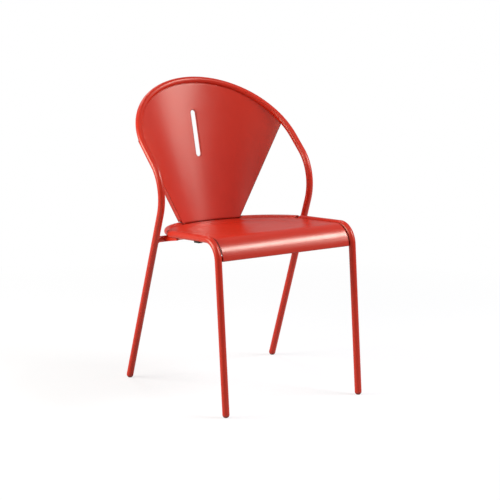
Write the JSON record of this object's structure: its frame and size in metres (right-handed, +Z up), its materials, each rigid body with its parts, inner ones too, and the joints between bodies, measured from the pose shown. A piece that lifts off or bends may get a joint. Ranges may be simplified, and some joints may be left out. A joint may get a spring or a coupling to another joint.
{
  "type": "garden chair",
  "caption": "Stacking garden chair: bent tube frame, pressed seat with a round dish and a rolled rear rim, and a conical fan-shaped back panel with a hand slot.",
  "frame": {"origin": "on the floor under the middle of the chair's bounding box", "axes": "+Z up, -Y the way the sitter faces, +X to the right of someone looking at the chair's front"},
  "size_m": [0.4672, 0.5447, 0.7836],
  "materials": {
    "tube_paint": "satin powder coat",
    "sheet_paint": "satin powder coat",
    "glide_plastic": "matte moulded",
    "pad_rubber": "matte moulded"
  },
  "bodies": {
    "root": {"back_hoop_tube": "tube_paint", "rear_cross_tube": "tube_paint", "seat_pan": "sheet_paint", "back_panel": "sheet_paint", "side_tube_left": "tube_paint", "front_glide_left": "glide_plastic", "rear_glide_left": "glide_plastic", "rail_cap_left": "tube_paint", "stacking_pad_left": "pad_rubber", "rail_plate_left": "tube_paint", "front_tab_left": "tube_paint", "side_tab_left": "tube_paint", "side_tube_right": "tube_paint", "front_glide_right": "glide_plastic", "rear_glide_right": "glide_plastic", "rail_cap_right": "tube_paint", "stacking_pad_right": "pad_rubber", "rail_plate_right": "tube_paint", "front_tab_right": "tube_paint", "side_tab_right": "tube_paint"}
  },
  "joints": []
}
